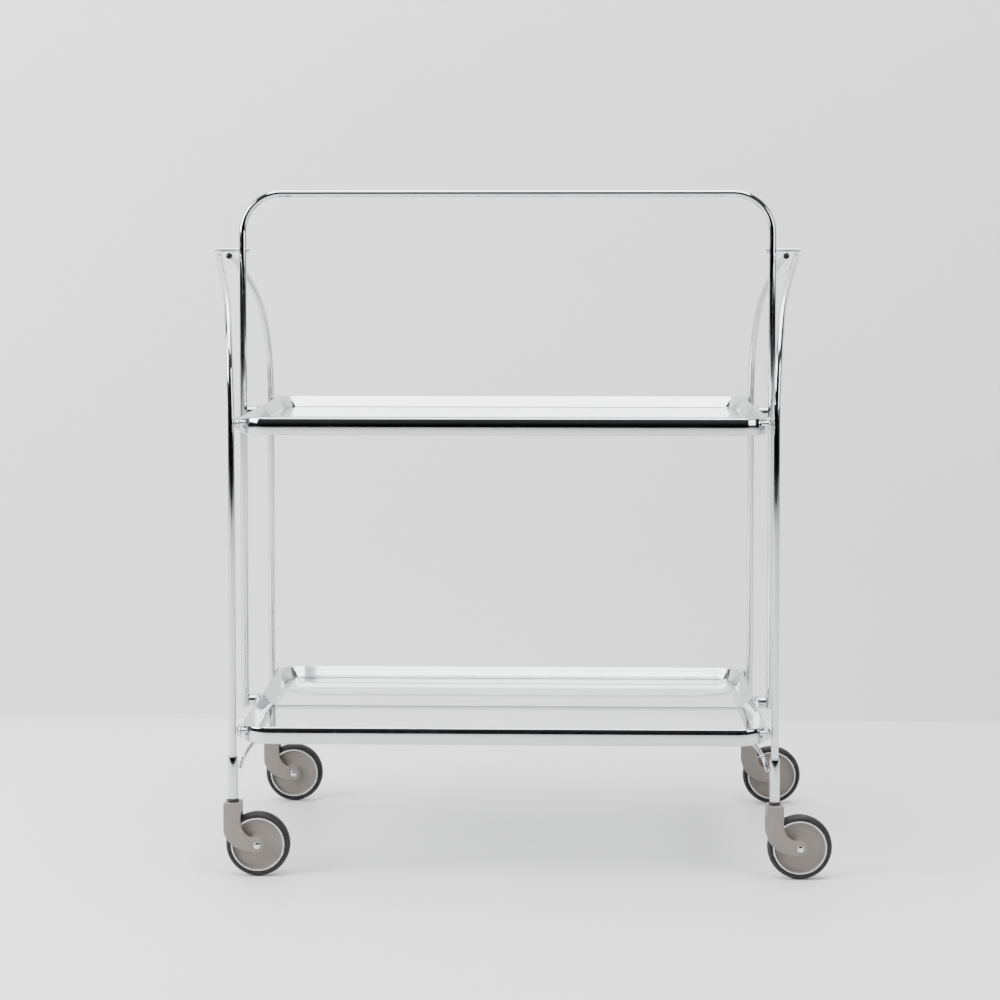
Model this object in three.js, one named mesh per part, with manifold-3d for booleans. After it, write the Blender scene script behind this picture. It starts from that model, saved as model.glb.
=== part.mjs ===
// Folding bar cart: two split glass trays, a carrying handle, four bowed legs and four swivel casters.
// Millimetres, +Z up, +X to the right, -Y to the front.
// The origin is on the floor, under the middle of the box.
import * as THREE from "three";
import { mergeVertices } from "three/addons/utils/BufferGeometryUtils.js";
import Module from "manifold-3d";

// Driving dimensions.
const FIT = 0.3; // gap between pieces that touch
const PIN_PLAY = 0.4; // radial play of a hinge pin in its hole

const TRAY_HALF_WIDTH = 304; // along X, to the outside of the rim
const TRAY_HALF_DEPTH = 205; // along Y
const TRAY_CORNER = 34;
const RIM_HEIGHT = 20;
const RIM_TOP_LAND = 3; // flat on top of the rim
const RIM_FOOT = 14; // width of the rim where it meets the glass
const RIM_LEDGE = 20; // width of the ledge that carries the glass
const LEDGE_THICK = 2;
const GLASS_THICK = 3.7;
const GLASS_EDGE = RIM_FOOT + FIT; // from the outside of the rim to the edge of the glass
const SEAM_GAP = 2.4; // between the front half and the back half of a tray
const SEAM_STRIP = 8; // ledge along the seam

const WHEEL_RADIUS = 37.5;
const TYRE_THICK = 6;
const TYRE_HALF_WIDTH = 8;
const HUB_HALF_WIDTH = 8.5;
const AXLE_RADIUS = 2.5;
const TRAIL = 29; // from the swivel axis to the axle
const FORK_HEADROOM = 11; // from the top of the wheel to the top of the fork
const FORK_HALF_WIDTH = 10;
const FORK_GAP = 1.3; // between the hub and a fork arm
const FORK_ARM = 3;
const FORK_EYE = 8.5; // radius of the fork arm round the axle
const FORK_BLOCK = 13; // thickness of the fork's top
const COLLAR_THICK = 3.3;
const COLLAR_RADIUS = 7;
const STEM_RADIUS = 4.2;
const STEM_HEAD_RADIUS = 6.5;
const STEM_HEAD_THICK = 1.8;
const STEM_LENGTH = 38; // from the underside of the fork's top, up into the sleeve

const LEG_RADIUS = 4.25;
const LEG_SIDES = 10;
const LEG_GAP = 4.75; // between the rim and a leg, where the knob sits
const LEG_SETBACK = 15; // of a leg from the front or back of the trays
const SLEEVE_WALL = 1.15;
const SLEEVE_RISE = 53; // from the top of the fork to the top of the sleeve
const STRETCHER_RADIUS = 2.2;
const STRETCHER_Y = 120;
const STRETCHER_CLEARANCE = 2.8; // under the lower tray
const STRETCHER_START = 13; // below the top of the sleeve
const LOWER_TRAY_CLEARANCE = 17; // from the top of the sleeve to the lower rim
const TRAY_SPACING = 357; // from one tray to the next

const HANDLE_RADIUS = 4.75;
const HANDLE_GAP = 1.5; // between a leg and the handle tube
const HANDLE_RISE = 280; // from the upper rim to the middle of the handle's top
const HANDLE_BEND = 48;
const HORN_GAP = 7.5; // between the handle tube and the tip of a back leg
const HORN_SPACING = 4.5; // between the tips of a front and a back leg, which pass as the cart folds
const HORN_OVERLAP = 4; // how far a tip passes the middle
const STOP_BAR_RADIUS = 2.5;
const STOP_BAR_HEAD = 1.5; // how far its head stands out all round
const STOP_BAR_HEAD_LENGTH = 3;
const STOP_BAR_RISE = 211; // above the underside of the upper rim
const STOP_BAR_REACH = 5; // past the middle of the front leg's tip

const PIN_RADIUS = 3;
const SEAM_PIN_Y = 12; // hinge of each tray half, from the middle
const SEAM_PIN_RISE = 4.5; // above the underside of the rim
const SEAM_PIN_DEPTH = 5.5; // into the rim
const CORNER_PIN_RISE = 13;
const CORNER_PIN_DEPTH = 3.5; // into the rim
const PIN_END_GAP = 0.5; // between a seam pin and the end of its hole
const KNOB_RADIUS = 8;
const KNOB_INSET = 0.7; // of the knob's back face, where the rounded corner falls away
const PLATE_GAP = 1.3; // between the rim and a hinge plate
const PLATE_THICK = 2.5;
const PLATE_HALF_LENGTH = 22;
const PLATE_BURY = 1; // how far pins and bosses run into the plate
const BOSS_RADIUS = 7;
const BOSS_RISE = 13;

const ARC_STEPS = 5;
const WHEEL_STEPS = 24;
const ROUND_STEPS = 12;

// Places that follow from the sizes above.
const FORK_TOP_Z = 2 * WHEEL_RADIUS + FORK_HEADROOM;
const COLLAR_TOP_Z = FORK_TOP_Z + FIT + COLLAR_THICK;
const STEM_TOP_Z = FORK_TOP_Z - FORK_BLOCK + STEM_LENGTH;
const LEG_FOOT_Z = STEM_TOP_Z + 1;
const SLEEVE_BORE = LEG_RADIUS + FIT;
const SLEEVE_RADIUS = SLEEVE_BORE + SLEEVE_WALL;
const SLEEVE_TOP_Z = FORK_TOP_Z + SLEEVE_RISE;
const LOWER_TRAY_Z = SLEEVE_TOP_Z + LOWER_TRAY_CLEARANCE; // underside of the lower rim
const UPPER_TRAY_Z = LOWER_TRAY_Z + TRAY_SPACING; // underside of the upper rim
const STOP_BAR_Z = UPPER_TRAY_Z + STOP_BAR_RISE;
const HANDLE_TOP_Z = UPPER_TRAY_Z + HANDLE_RISE;

const LEG_X = TRAY_HALF_WIDTH + LEG_GAP + LEG_RADIUS;
const LEG_Y = TRAY_HALF_DEPTH - LEG_SETBACK;
const HANDLE_X = LEG_X + LEG_RADIUS + HANDLE_GAP + HANDLE_RADIUS;
const HORN_BACK_X = HANDLE_X + HANDLE_RADIUS + HORN_GAP + LEG_RADIUS;
const HORN_FRONT_X = HORN_BACK_X + 2 * LEG_RADIUS + HORN_SPACING; // outside the back leg's tip
const STOP_BAR_END = HORN_FRONT_X + STOP_BAR_REACH;
const PLATE_X = TRAY_HALF_WIDTH + PLATE_GAP; // inner face of a hinge plate

const GLASS_TOP = LEDGE_THICK + GLASS_THICK + 2 * FIT; // foot of the rim's slope, just over the glass
const PIN_HOLE = PIN_RADIUS + PIN_PLAY;
const CORNER_DROP = LEG_Y - (TRAY_HALF_DEPTH - TRAY_CORNER); // how far round the corner the leg stands
const CORNER_FACE_X = TRAY_HALF_WIDTH - TRAY_CORNER + Math.sqrt(TRAY_CORNER ** 2 - CORNER_DROP ** 2);
const CORNER_PIN_END = CORNER_FACE_X - CORNER_PIN_DEPTH;

const wasm = await Module();
wasm.setup();

const FINISH = {
  chrome: new THREE.MeshStandardMaterial({ color: 0xd8dadd, roughness: 0.12, metalness: 1 }),
  glass: new THREE.MeshStandardMaterial({
    color: 0xe8eeee,
    roughness: 0.05,
    transparent: true,
    opacity: 0.35,
  }),
  taupe: new THREE.MeshStandardMaterial({ color: 0x9a928b, roughness: 0.5, metalness: 0 }),
  rubber: new THREE.MeshStandardMaterial({ color: 0x0c0c0d, roughness: 0.6, metalness: 0 }),
  black: new THREE.MeshStandardMaterial({ color: 0x131314, roughness: 0.4, metalness: 0 }),
};

// A closed geometry as a solid for joining and cutting.
function solid(geometry) {
  const bare = geometry.clone();
  bare.deleteAttribute("normal");
  bare.deleteAttribute("uv");
  const merged = mergeVertices(bare, 1e-4);
  const vertProperties = new Float32Array(merged.attributes.position.array);
  const triVerts = new Uint32Array(merged.index.array);
  return new wasm.Manifold(new wasm.Mesh({ numProp: 3, vertProperties, triVerts }));
}

// A joined or cut solid back as a geometry.
function geometryOf(shape) {
  const mesh = shape.getMesh();
  const geometry = new THREE.BufferGeometry();
  geometry.setAttribute("position", new THREE.BufferAttribute(new Float32Array(mesh.vertProperties), 3));
  geometry.setIndex(new THREE.BufferAttribute(new Uint32Array(mesh.triVerts), 1));
  geometry.computeVertexNormals();
  return geometry;
}

function piece(name, geometry, finish) {
  const mesh = new THREE.Mesh(geometry, FINISH[finish]);
  mesh.name = name;
  return mesh;
}

// A route through given points, each one a step of the sweep.
class Route extends THREE.Curve {
  constructor(points) {
    super();
    this.points = points;
  }
  getUtoTmapping(u) {
    return u;
  }
  getPoint(t) {
    const last = this.points.length - 1;
    const place = Math.min(Math.max(t, 0), 1) * last;
    const index = Math.min(Math.floor(place), last - 1);
    return this.points[index].clone().lerp(this.points[index + 1], place - index);
  }
}

// A round bar along points.
function bar(points, radius, sides) {
  const section = new THREE.Shape();
  for (let i = 0; i < sides; i++) {
    const angle = (2 * Math.PI * i) / sides;
    const x = radius * Math.cos(angle);
    const y = radius * Math.sin(angle);
    if (i) section.lineTo(x, y);
    else section.moveTo(x, y);
  }
  section.closePath();
  const steps = points.length - 1;
  return new THREE.ExtrudeGeometry(section, { steps, bevelEnabled: false, extrudePath: new Route(points) });
}

// A turned piece: profile points are [radius, height], and it turns about +Z.
function turned(profile, steps) {
  const points = profile.map(([r, h]) => new THREE.Vector2(r, h));
  return new THREE.LatheGeometry(points, steps).rotateX(Math.PI / 2);
}

// A turned piece whose axis lies along X, with heights measured outwards from the middle of the cart.
function turnedAlongX(profile, side, y, z) {
  const geometry = turned(profile, ROUND_STEPS).rotateY(Math.PI / 2);
  if (side < 0) geometry.rotateZ(Math.PI);
  return geometry.translate(0, y, z);
}

function pinAlongX(radius, from, to, side, y, z) {
  return turnedAlongX([[0, from], [radius, from], [radius, to], [0, to]], side, y, z);
}

// The plan of a tray, drawn in by an inset.
function trayPlan(inset) {
  const halfX = TRAY_HALF_WIDTH - inset;
  const halfY = TRAY_HALF_DEPTH - inset;
  const corner = Math.max(TRAY_CORNER - inset, 1);
  const plan = new THREE.Shape();
  plan.moveTo(halfX, corner - halfY);
  plan.lineTo(halfX, halfY - corner);
  plan.absarc(halfX - corner, halfY - corner, corner, 0, Math.PI / 2);
  plan.lineTo(corner - halfX, halfY);
  plan.absarc(corner - halfX, halfY - corner, corner, Math.PI / 2, Math.PI);
  plan.lineTo(-halfX, corner - halfY);
  plan.absarc(corner - halfX, corner - halfY, corner, Math.PI, 1.5 * Math.PI);
  plan.lineTo(halfX - corner, -halfY);
  plan.absarc(halfX - corner, corner - halfY, corner, 1.5 * Math.PI, 2 * Math.PI);
  return plan;
}

function traySlab(inset, from, to) {
  const options = { depth: to - from, bevelEnabled: false, curveSegments: ARC_STEPS };
  return new THREE.ExtrudeGeometry(trayPlan(inset), options).translate(0, 0, from);
}

function block(fromX, toX, fromY, toY, fromZ, toZ) {
  const geometry = new THREE.BoxGeometry(toX - fromX, toY - fromY, toZ - fromZ);
  return geometry.translate((fromX + toX) / 2, (fromY + toY) / 2, (fromZ + toZ) / 2);
}

// One half of the space around a tray, in front of the seam (end -1) or behind it (end 1).
function halfSpace(end, clearOfMiddle, floor, ceiling) {
  const reach = TRAY_HALF_WIDTH + TRAY_HALF_DEPTH;
  const near = end < 0 ? -reach : clearOfMiddle;
  const far = end < 0 ? -clearOfMiddle : reach;
  return solid(block(-reach, reach, near, far, floor, ceiling));
}

// A tray's rim falls from a flat top to the glass, and a ledge under the glass runs all round each half.
function trayRim(name, end, z) {
  const slope = RIM_HEIGHT - GLASS_TOP;
  const slopeOptions = {
    depth: RIM_HEIGHT,
    bevelThickness: slope,
    bevelSize: RIM_FOOT - RIM_TOP_LAND,
    bevelSegments: 1,
    curveSegments: ARC_STEPS,
  };
  const well = new THREE.ExtrudeGeometry(trayPlan(RIM_FOOT), slopeOptions).translate(0, 0, RIM_HEIGHT);
  const pocket = traySlab(GLASS_EDGE - FIT, LEDGE_THICK, RIM_HEIGHT);
  const window = solid(traySlab(RIM_LEDGE, -1, GLASS_TOP));
  const stripEdge = SEAM_GAP / 2 + SEAM_STRIP;
  let rim = solid(traySlab(0, 0, RIM_HEIGHT)).intersect(halfSpace(end, SEAM_GAP / 2, -1, RIM_HEIGHT + 1));
  rim = rim.subtract(solid(well)).subtract(solid(pocket));
  rim = rim.subtract(window.intersect(halfSpace(end, stripEdge, -2, RIM_HEIGHT)));
  for (const side of [-1, 1]) {
    const seamEnd = TRAY_HALF_WIDTH - SEAM_PIN_DEPTH - PIN_END_GAP;
    const seamHole = pinAlongX(PIN_HOLE, seamEnd, PLATE_X, side, end * SEAM_PIN_Y, SEAM_PIN_RISE);
    const cornerHole = pinAlongX(PIN_HOLE, CORNER_PIN_END - FIT, LEG_X, side, end * LEG_Y, CORNER_PIN_RISE);
    rim = rim.subtract(solid(seamHole)).subtract(solid(cornerHole));
  }
  return piece(name, geometryOf(rim).translate(0, 0, z), "chrome");
}

function trayGlass(name, end, z) {
  const bottom = LEDGE_THICK + FIT;
  const plate = solid(traySlab(GLASS_EDGE, bottom, bottom + GLASS_THICK));
  const half = plate.intersect(halfSpace(end, SEAM_GAP / 2, 0, RIM_HEIGHT));
  return piece(name, geometryOf(half).translate(0, 0, z), "glass");
}

// A domed knob between a leg and a tray, with the pin that the tray half turns on.
function cornerPivot(name, side, end, z) {
  const knobStart = TRAY_HALF_WIDTH - KNOB_INSET;
  const knobEnd = LEG_X - LEG_RADIUS - FIT;
  const profile = [
    [0, CORNER_PIN_END],
    [PIN_RADIUS, CORNER_PIN_END],
    [PIN_RADIUS, knobStart],
    [KNOB_RADIUS, knobStart],
    [KNOB_RADIUS * 0.92, knobStart + (knobEnd - knobStart) * 0.45],
    [KNOB_RADIUS * 0.6, knobEnd],
    [0, knobEnd],
  ];
  return piece(name, turnedAlongX(profile, side, end * LEG_Y, z + CORNER_PIN_RISE), "chrome");
}

// The plate on the handle tube that carries both halves of a tray on their seam pins.
function hingePlate(name, side, z) {
  const low = SEAM_PIN_RISE - PIN_RADIUS - 1;
  const high = BOSS_RISE + BOSS_RADIUS;
  const outline = new THREE.Shape();
  outline.moveTo(-PLATE_HALF_LENGTH, low);
  outline.lineTo(PLATE_HALF_LENGTH, low);
  outline.quadraticCurveTo(PLATE_HALF_LENGTH, high * 0.6, BOSS_RADIUS, high);
  outline.lineTo(-BOSS_RADIUS, high);
  outline.quadraticCurveTo(-PLATE_HALF_LENGTH, high * 0.6, -PLATE_HALF_LENGTH, low);
  const options = { depth: PLATE_THICK, bevelEnabled: false, curveSegments: 4 };
  const sheet = new THREE.ExtrudeGeometry(outline, options);
  sheet.rotateX(Math.PI / 2).rotateZ(Math.PI / 2);
  sheet.translate(side > 0 ? PLATE_X : -PLATE_X - PLATE_THICK, 0, 0);
  const bossEnd = HANDLE_X - HANDLE_RADIUS - FIT;
  const root = PLATE_X + PLATE_BURY;
  let plate = solid(sheet).add(solid(pinAlongX(BOSS_RADIUS, root, bossEnd, side, 0, BOSS_RISE)));
  for (const end of [-1, 1]) {
    const pinStart = TRAY_HALF_WIDTH - SEAM_PIN_DEPTH;
    const pin = pinAlongX(PIN_RADIUS, pinStart, root, side, end * SEAM_PIN_Y, SEAM_PIN_RISE);
    plate = plate.add(solid(pin));
  }
  return piece(name, geometryOf(plate).translate(0, 0, z), "chrome");
}

// The handle is one bent tube, drilled for the two stop bars.
function handle() {
  const foot = LOWER_TRAY_Z + SEAM_PIN_RISE;
  const bendX = HANDLE_X - HANDLE_BEND;
  const bendZ = HANDLE_TOP_Z - HANDLE_BEND;
  const points = [new THREE.Vector3(-HANDLE_X, 0, foot)];
  const bendSteps = 7;
  for (const side of [-1, 1]) {
    for (let i = 0; i <= bendSteps; i++) {
      const turn = ((side < 0 ? i : bendSteps - i) * Math.PI) / 2 / bendSteps;
      const x = side * (bendX + HANDLE_BEND * Math.cos(turn));
      points.push(new THREE.Vector3(x, 0, bendZ + HANDLE_BEND * Math.sin(turn)));
    }
  }
  points.push(new THREE.Vector3(HANDLE_X, 0, foot));
  let tube = solid(bar(points, HANDLE_RADIUS, 12));
  for (const side of [-1, 1]) {
    const inner = HANDLE_X - 2 * HANDLE_RADIUS;
    const outer = HANDLE_X + 2 * HANDLE_RADIUS;
    const drill = pinAlongX(STOP_BAR_RADIUS + FIT, inner, outer, side, 0, STOP_BAR_Z);
    tube = tube.subtract(solid(drill));
  }
  return piece("handle_tube", geometryOf(tube), "chrome");
}

// A bar through the handle tube that sits on the tips of the legs and stops the trays level.
function stopBar(name, side) {
  const inner = HANDLE_X - HANDLE_RADIUS - FIT;
  const headRadius = STOP_BAR_RADIUS + STOP_BAR_HEAD;
  const profile = [
    [0, inner - STOP_BAR_HEAD_LENGTH],
    [headRadius, inner - STOP_BAR_HEAD_LENGTH],
    [headRadius, inner],
    [STOP_BAR_RADIUS, inner],
    [STOP_BAR_RADIUS, STOP_BAR_END],
    [0, STOP_BAR_END],
  ];
  return piece(name, turnedAlongX(profile, side, 0, STOP_BAR_Z), "chrome");
}

// A leg stands straight, then sweeps in to the middle and out beyond the handle.
// Its tip lies under the stop bar.
function leg(name, side, end) {
  const tipX = end < 0 ? HORN_FRONT_X : HORN_BACK_X;
  const tipZ = STOP_BAR_Z - STOP_BAR_RADIUS - LEG_RADIUS - FIT;
  const bowStart = UPPER_TRAY_Z + RIM_HEIGHT + 10;
  const bowHeight = tipZ - bowStart;
  const spread = tipX - LEG_X;
  // Shares of the way out to the side, of the distance from the middle, and of the way up.
  const bow = [
    [0, 1, 0],
    [0.05, 0.97, 0.27],
    [0.16, 0.85, 0.51],
    [0.33, 0.66, 0.7],
    [0.62, 0.4, 0.86],
    [0.88, 0.16, 0.965],
  ];
  const knots = bow.map(([out, back, up]) =>
    new THREE.Vector3(side * (LEG_X + spread * out), end * LEG_Y * back, bowStart + bowHeight * up));
  knots.push(new THREE.Vector3(side * tipX, -end * HORN_OVERLAP, tipZ));
  const foot = new THREE.Vector3(side * LEG_X, end * LEG_Y, LEG_FOOT_Z);
  const points = [foot, ...new THREE.CatmullRomCurve3(knots, false, "centripetal").getSpacedPoints(16)];
  return piece(name, bar(points, LEG_RADIUS, LEG_SIDES), "chrome");
}

function sleeve(name, x, y) {
  const bottom = COLLAR_TOP_Z + FIT;
  const profile = [[SLEEVE_BORE, bottom], [SLEEVE_RADIUS, bottom], [SLEEVE_RADIUS, SLEEVE_TOP_Z],
    [SLEEVE_BORE, SLEEVE_TOP_Z], [SLEEVE_BORE, bottom]];
  return piece(name, turned(profile, ROUND_STEPS).translate(x, y, 0), "chrome");
}

// A rod from one sleeve, up under the lower tray and across to the other sleeve.
function stretcher(name, end) {
  const startX = LEG_X - SLEEVE_RADIUS - FIT - STRETCHER_RADIUS;
  const crossZ = LOWER_TRAY_Z - STRETCHER_RADIUS - STRETCHER_CLEARANCE;
  const startZ = SLEEVE_TOP_Z - STRETCHER_START;
  const reach = LEG_Y - STRETCHER_Y;
  // Millimetres inwards, share of the way to the middle, and share of the way up.
  const half = [[0, 0, 0], [4, 0.1, 0.5], [12, 0.35, 0.92], [26, 0.78, 1], [54, 1, 1]];
  const place = (side) => ([inward, back, up]) => new THREE.Vector3(
    side * (startX - inward), end * (LEG_Y - reach * back), startZ + (crossZ - startZ) * up);
  const points = [...half.map(place(-1)), ...[...half].reverse().map(place(1))];
  return piece(name, bar(points, STRETCHER_RADIUS, 8), "chrome");
}

// Caster pieces are made on their swivel axis, with the wheel trailing to +X.
function forkArm(y) {
  const outline = new THREE.Shape();
  outline.moveTo(-FORK_HALF_WIDTH, FORK_TOP_Z);
  outline.lineTo(-FORK_HALF_WIDTH, WHEEL_RADIUS * 1.5);
  const under = WHEEL_RADIUS - FORK_EYE;
  outline.bezierCurveTo(-FORK_HALF_WIDTH, WHEEL_RADIUS * 1.07, TRAIL * 0.28, under, TRAIL, under);
  outline.absarc(TRAIL, WHEEL_RADIUS, FORK_EYE, -Math.PI / 2, Math.PI / 2);
  const throat = [FORK_HALF_WIDTH, WHEEL_RADIUS * 1.4, FORK_HALF_WIDTH, WHEEL_RADIUS * 1.75];
  outline.bezierCurveTo(TRAIL * 0.62, WHEEL_RADIUS + FORK_EYE, ...throat);
  outline.lineTo(FORK_HALF_WIDTH, FORK_TOP_Z);
  const arm = new THREE.ExtrudeGeometry(outline, { depth: FORK_ARM, bevelEnabled: false, curveSegments: 6 });
  return arm.rotateX(Math.PI / 2).translate(0, y, 0);
}

function forkGeometry() {
  const inner = HUB_HALF_WIDTH + FORK_GAP;
  const outer = inner + FORK_ARM;
  let fork = solid(forkArm(-inner)).add(solid(forkArm(outer)));
  const blockHalf = inner + 1;
  const blockLow = FORK_TOP_Z - FORK_BLOCK;
  const top = block(-FORK_HALF_WIDTH, FORK_HALF_WIDTH, -blockHalf, blockHalf, blockLow, FORK_TOP_Z);
  fork = fork.add(solid(top));
  const axleHole = new THREE.CylinderGeometry(AXLE_RADIUS + FIT, AXLE_RADIUS + FIT, 4 * outer, 12);
  const bore = STEM_RADIUS + FIT;
  const stemHole = turned([[0, 0], [bore, 0], [bore, 2 * FORK_TOP_Z], [0, 2 * FORK_TOP_Z]], ROUND_STEPS);
  fork = fork.subtract(solid(axleHole.translate(TRAIL, 0, WHEEL_RADIUS)));
  return geometryOf(fork.subtract(solid(stemHole)));
}

function stemGeometry() {
  const headTop = FORK_TOP_Z - FORK_BLOCK - FIT;
  const headBottom = headTop - STEM_HEAD_THICK;
  const profile = [
    [0, headBottom],
    [STEM_HEAD_RADIUS, headBottom],
    [STEM_HEAD_RADIUS, headTop],
    [STEM_RADIUS, headTop],
    [STEM_RADIUS, STEM_TOP_Z],
    [0, STEM_TOP_Z],
  ];
  return turned(profile, ROUND_STEPS);
}

function collarGeometry() {
  const low = FORK_TOP_Z + FIT;
  const bore = STEM_RADIUS + FIT;
  const shoulder = COLLAR_RADIUS - 0.6;
  const profile = [
    [bore, low],
    [COLLAR_RADIUS, low],
    [shoulder, COLLAR_TOP_Z],
    [bore, COLLAR_TOP_Z],
    [bore, low],
  ];
  return turned(profile, ROUND_STEPS);
}

// Wheel pieces are turned about the axle, which lies along Y.
function onAxle(profile, steps) {
  return turned(profile, steps).rotateX(Math.PI / 2).rotateY(Math.PI / 2).translate(TRAIL, 0, WHEEL_RADIUS);
}

function axleGeometry() {
  const cheek = HUB_HALF_WIDTH + FORK_GAP + FORK_ARM + FIT;
  const head = cheek + 1.4;
  const capRadius = AXLE_RADIUS + 1.5;
  const half = [[AXLE_RADIUS, cheek], [capRadius, cheek], [capRadius, head], [0, head]];
  const other = half.map(([r, h]) => [r, -h]).reverse();
  return onAxle([...other, ...half], ROUND_STEPS);
}

function hubGeometry() {
  const rim = WHEEL_RADIUS - TYRE_THICK - FIT;
  const bore = AXLE_RADIUS + FIT;
  const lip = TYRE_HALF_WIDTH - 1;
  const face = [
    [bore, HUB_HALF_WIDTH],
    [7, HUB_HALF_WIDTH],
    [9, 6],
    [rim - 4, 3],
    [rim - 2, lip],
    [rim, lip],
  ];
  const back = face.map(([r, h]) => [r, -h]);
  return onAxle([...back, ...face.reverse(), back[0]], WHEEL_STEPS);
}

function tyreGeometry() {
  const inner = WHEEL_RADIUS - TYRE_THICK;
  const tread = TYRE_HALF_WIDTH * 0.55;
  const wall = WHEEL_RADIUS - 2;
  const profile = [
    [inner, -TYRE_HALF_WIDTH],
    [wall, -TYRE_HALF_WIDTH],
    [WHEEL_RADIUS, -tread],
    [WHEEL_RADIUS, tread],
    [wall, TYRE_HALF_WIDTH],
    [inner, TYRE_HALF_WIDTH],
    [inner, -TYRE_HALF_WIDTH],
  ];
  return onAxle(profile, WHEEL_STEPS);
}

function caster(prefix, x, y) {
  const group = new THREE.Group();
  group.add(piece(prefix + "_fork", forkGeometry(), "taupe"));
  group.add(piece(prefix + "_swivel_stem", stemGeometry(), "chrome"));
  group.add(piece(prefix + "_swivel_collar", collarGeometry(), "black"));
  group.add(piece(prefix + "_axle", axleGeometry(), "chrome"));
  group.add(piece(prefix + "_hub", hubGeometry(), "taupe"));
  group.add(piece(prefix + "_tyre", tyreGeometry(), "rubber"));
  group.position.set(x, y, 0);
  return group;
}

// The whole cart.
const cart = new THREE.Group();
const SIDES = [["left", -1], ["right", 1]];
const ENDS = [["front", -1], ["back", 1]];
const TRAYS = [["upper", UPPER_TRAY_Z], ["lower", LOWER_TRAY_Z]];

cart.add(handle());
for (const [sideName, side] of SIDES) {
  cart.add(stopBar(sideName + "_stop_bar", side));
  for (const [trayName, z] of TRAYS) {
    cart.add(hingePlate(trayName + "_" + sideName + "_hinge_plate", side, z));
  }
}
for (const [endName, end] of ENDS) {
  cart.add(stretcher(endName + "_stretcher", end));
  for (const [trayName, z] of TRAYS) {
    cart.add(trayRim(trayName + "_" + endName + "_rim", end, z));
    cart.add(trayGlass(trayName + "_" + endName + "_glass", end, z));
  }
  for (const [sideName, side] of SIDES) {
    const corner = endName + "_" + sideName;
    cart.add(leg(corner + "_leg", side, end));
    cart.add(sleeve(corner + "_sleeve", side * LEG_X, end * LEG_Y));
    cart.add(caster(corner + "_caster", side * LEG_X, end * LEG_Y));
    for (const [trayName, z] of TRAYS) {
      cart.add(cornerPivot(trayName + "_" + corner + "_pivot", side, end, z));
    }
  }
}

// The wheels trail to the right, so the middle of the box is to the right of the middle of the trays.
const rightmost = LEG_X + TRAIL + WHEEL_RADIUS;
const leftmost = Math.max(STOP_BAR_END, HORN_FRONT_X + LEG_RADIUS);
cart.position.x = -(rightmost - leftmost) / 2;

export default cart;
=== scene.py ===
"""Looks of the folding bar cart: smooth tubes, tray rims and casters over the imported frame."""

import logging
import math
from dataclasses import dataclass
from enum import Enum

import bpy
from mathutils import Matrix, Vector


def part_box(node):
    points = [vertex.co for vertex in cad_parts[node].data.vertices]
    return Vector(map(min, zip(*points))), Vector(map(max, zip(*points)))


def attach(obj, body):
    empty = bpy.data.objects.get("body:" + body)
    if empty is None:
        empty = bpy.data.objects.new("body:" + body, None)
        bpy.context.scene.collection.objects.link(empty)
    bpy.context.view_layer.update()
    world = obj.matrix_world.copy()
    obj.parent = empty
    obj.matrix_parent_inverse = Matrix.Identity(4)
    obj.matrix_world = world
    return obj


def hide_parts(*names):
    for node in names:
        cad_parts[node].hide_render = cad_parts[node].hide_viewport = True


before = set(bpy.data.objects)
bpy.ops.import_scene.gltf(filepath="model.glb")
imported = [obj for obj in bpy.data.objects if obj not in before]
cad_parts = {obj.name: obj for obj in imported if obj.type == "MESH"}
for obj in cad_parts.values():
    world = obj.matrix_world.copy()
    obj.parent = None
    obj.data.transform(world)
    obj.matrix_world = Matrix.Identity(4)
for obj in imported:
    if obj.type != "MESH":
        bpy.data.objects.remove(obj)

LOG = logging.getLogger("bar_cart")
MM = 0.001
FIT = 0.3 * MM
MERGE_DISTANCE = 0.002 * MM
SHARP_ANGLE = math.radians(35)
TUBE_EDGE = 0.5 * MM
TUBE_RESOLUTION = 6
PIN_STEPS = 24
ROUND_STEPS = 40
WHEEL_STEPS = 96
TRAYS = ("upper", "lower")
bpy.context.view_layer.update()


class Slot(Enum):
    """Finishes, by the name of their material slot in the record."""

    CHROME = "chrome"
    GLASS = "glass"
    TAUPE = "caster_plastic"
    TYRE = "tyre"
    BLACK = "black_plastic"


class Side(Enum):
    """Left and right, seen from the front."""

    LEFT = -1
    RIGHT = 1


class End(Enum):
    """Front and back."""

    FRONT = -1
    BACK = 1


class Axis(Enum):
    """Directions that a turned piece's own height may point in."""

    UP = "up"
    LEFT = "left"
    RIGHT = "right"
    BACK = "back"


TURNS = {
    Axis.UP: Matrix.Identity(4),
    Axis.LEFT: Matrix.Rotation(-math.pi / 2, 4, "Y"),
    Axis.RIGHT: Matrix.Rotation(math.pi / 2, 4, "Y"),
    Axis.BACK: Matrix.Rotation(-math.pi / 2, 4, "X"),
}


def middle(node: str) -> Vector:
    """Middle of a CAD node's box.

    Args:
        node: name of the node.

    Returns:
        The point, in metres.
    """
    low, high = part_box(node)
    return (low + high) / 2


# ---------------------------------------------------------------- finishes


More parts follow.
